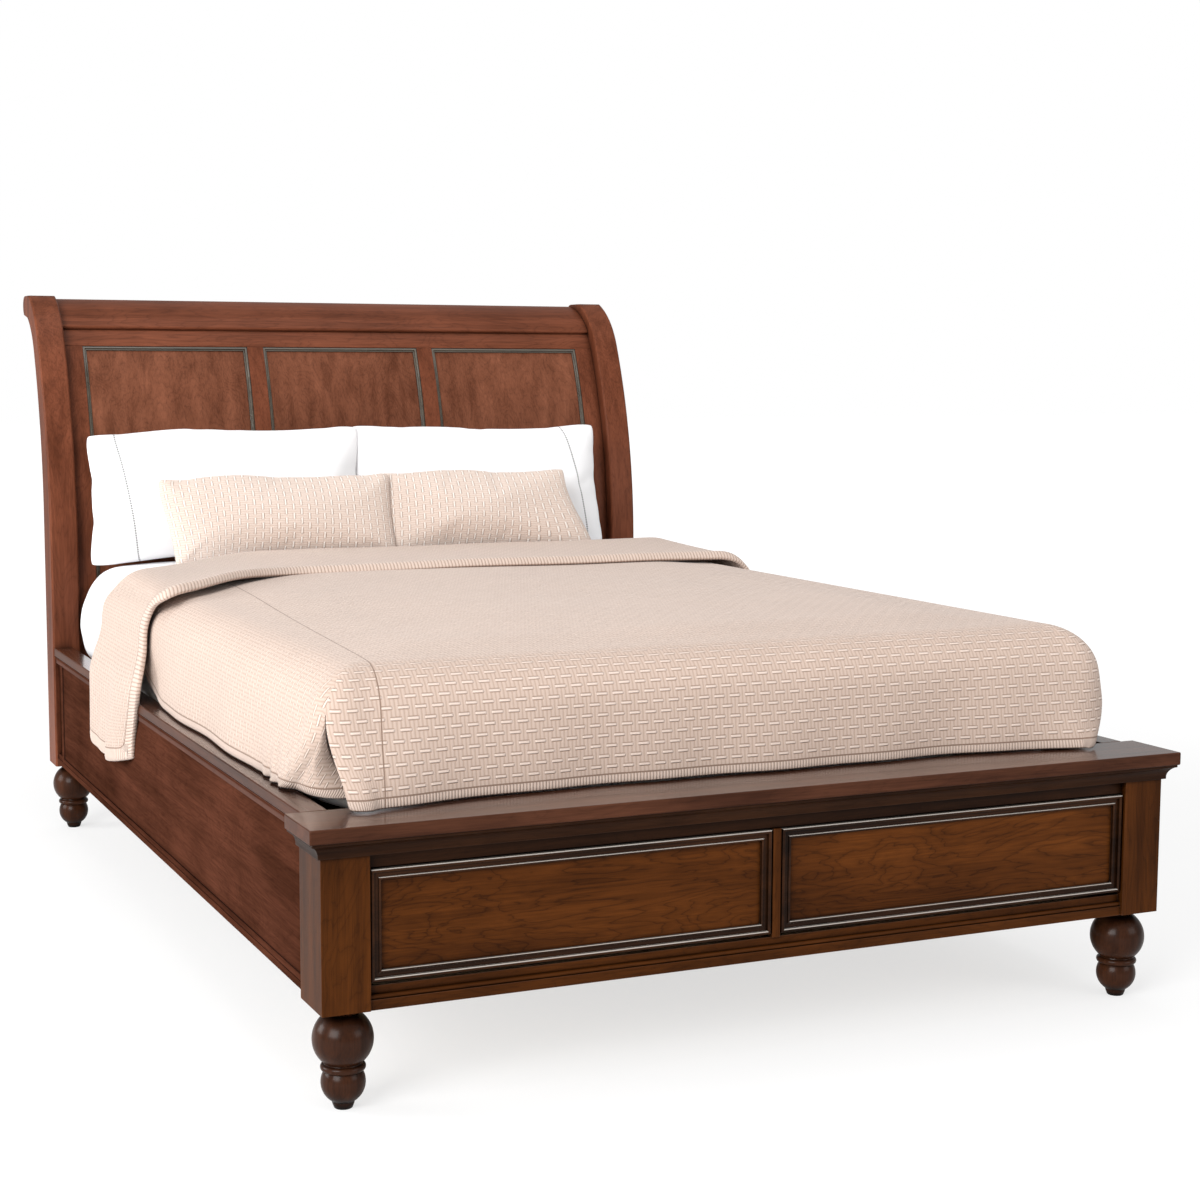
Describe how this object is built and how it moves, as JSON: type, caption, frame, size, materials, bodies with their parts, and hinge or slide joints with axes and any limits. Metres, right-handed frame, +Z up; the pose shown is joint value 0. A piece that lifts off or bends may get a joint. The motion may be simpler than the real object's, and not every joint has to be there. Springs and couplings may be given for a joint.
{
  "type": "bed",
  "caption": "Queen storage bed: panelled headboard rolled back at the top, footboard with framed drawers, side rails on turned feet, dressed with mattress, coverlet and pillows.",
  "frame": {"origin": "On the floor, under the middle of the whole bed's box in plan.", "axes": "X runs across the bed, +X to the right seen from the foot; Y runs from the foot to the head; Z is up."},
  "size_m": [1.688, 2.5816, 1.368],
  "materials": {
    "cherry_wood": "semi-gloss dark red-brown stain with darker glaze in the grooves",
    "pale_wood": "plain clear-sealed secondary wood",
    "plated_steel": "zinc-plated",
    "mattress_cloth": "matt ticking",
    "cover_cloth": "pinkish beige woven cotton",
    "white_cotton": "smooth white cotton"
  },
  "bodies": {
    "bed_frame": {"left_headboard_post": "cherry_wood", "right_headboard_post": "cherry_wood", "crest_rail": "cherry_wood", "headboard_top_rail": "cherry_wood", "headboard_stiles": "cherry_wood", "headboard_bottom_rail": "cherry_wood", "headboard_mullions": "cherry_wood", "left_headboard_panel": "cherry_wood", "centre_headboard_panel": "cherry_wood", "right_headboard_panel": "cherry_wood", "headboard_panel_beads": "cherry_wood", "turned_feet": "cherry_wood", "left_footboard_post": "cherry_wood", "right_footboard_post": "cherry_wood", "footboard_cap": "cherry_wood", "crown_moulding": "cherry_wood", "footboard_frieze": "cherry_wood", "drawer_divider": "cherry_wood", "footboard_base_rail": "cherry_wood", "left_side_rail": "cherry_wood", "right_side_rail": "cherry_wood", "left_rail_cap": "cherry_wood", "right_rail_cap": "cherry_wood", "left_rail_moulding": "cherry_wood", "right_rail_moulding": "cherry_wood", "rail_liners": "pale_wood", "slat_cleats": "pale_wood", "slats": "pale_wood", "centre_beam": "pale_wood", "centre_legs": "pale_wood", "drawer_case_panels": "pale_wood", "drawer_case_back": "pale_wood", "foot_bolts": "plated_steel", "rail_brackets": "plated_steel", "slide_rails": "plated_steel", "mattress": "mattress_cloth", "coverlet": "cover_cloth", "coverlet_fold": "cover_cloth", "shams": "cover_cloth", "pillows": "white_cotton"},
    "left_drawer": {"left_drawer_front": "cherry_wood", "left_drawer_moulding": "cherry_wood", "left_drawer_sides": "pale_wood", "left_drawer_back": "pale_wood", "left_drawer_bottom": "pale_wood", "left_slide_runners": "plated_steel"},
    "right_drawer": {"right_drawer_front": "cherry_wood", "right_drawer_moulding": "cherry_wood", "right_drawer_sides": "pale_wood", "right_drawer_back": "pale_wood", "right_drawer_bottom": "pale_wood", "right_slide_runners": "plated_steel"},
    "left_carrier": {"left_slide_carriers": "plated_steel"},
    "right_carrier": {"right_slide_carriers": "plated_steel"}
  },
  "joints": [
    {"name": "left_drawer_slide", "type": "slide", "parent": "bed_frame", "child": "left_drawer", "axis": [0, -1, 0], "range_m": [0, 0.4]},
    {"name": "left_carrier_slide", "type": "slide", "parent": "bed_frame", "child": "left_carrier", "axis": [0, -1, 0], "range_m": [0, 0.2]},
    {"name": "right_drawer_slide", "type": "slide", "parent": "bed_frame", "child": "right_drawer", "axis": [0, -1, 0], "range_m": [0, 0.4]},
    {"name": "right_carrier_slide", "type": "slide", "parent": "bed_frame", "child": "right_carrier", "axis": [0, -1, 0], "range_m": [0, 0.2]}
  ],
  "couplings": [
    {"joint": "left_carrier_slide", "follows": "left_drawer_slide", "ratio": 0.5},
    {"joint": "right_carrier_slide", "follows": "right_drawer_slide", "ratio": 0.5}
  ]
}
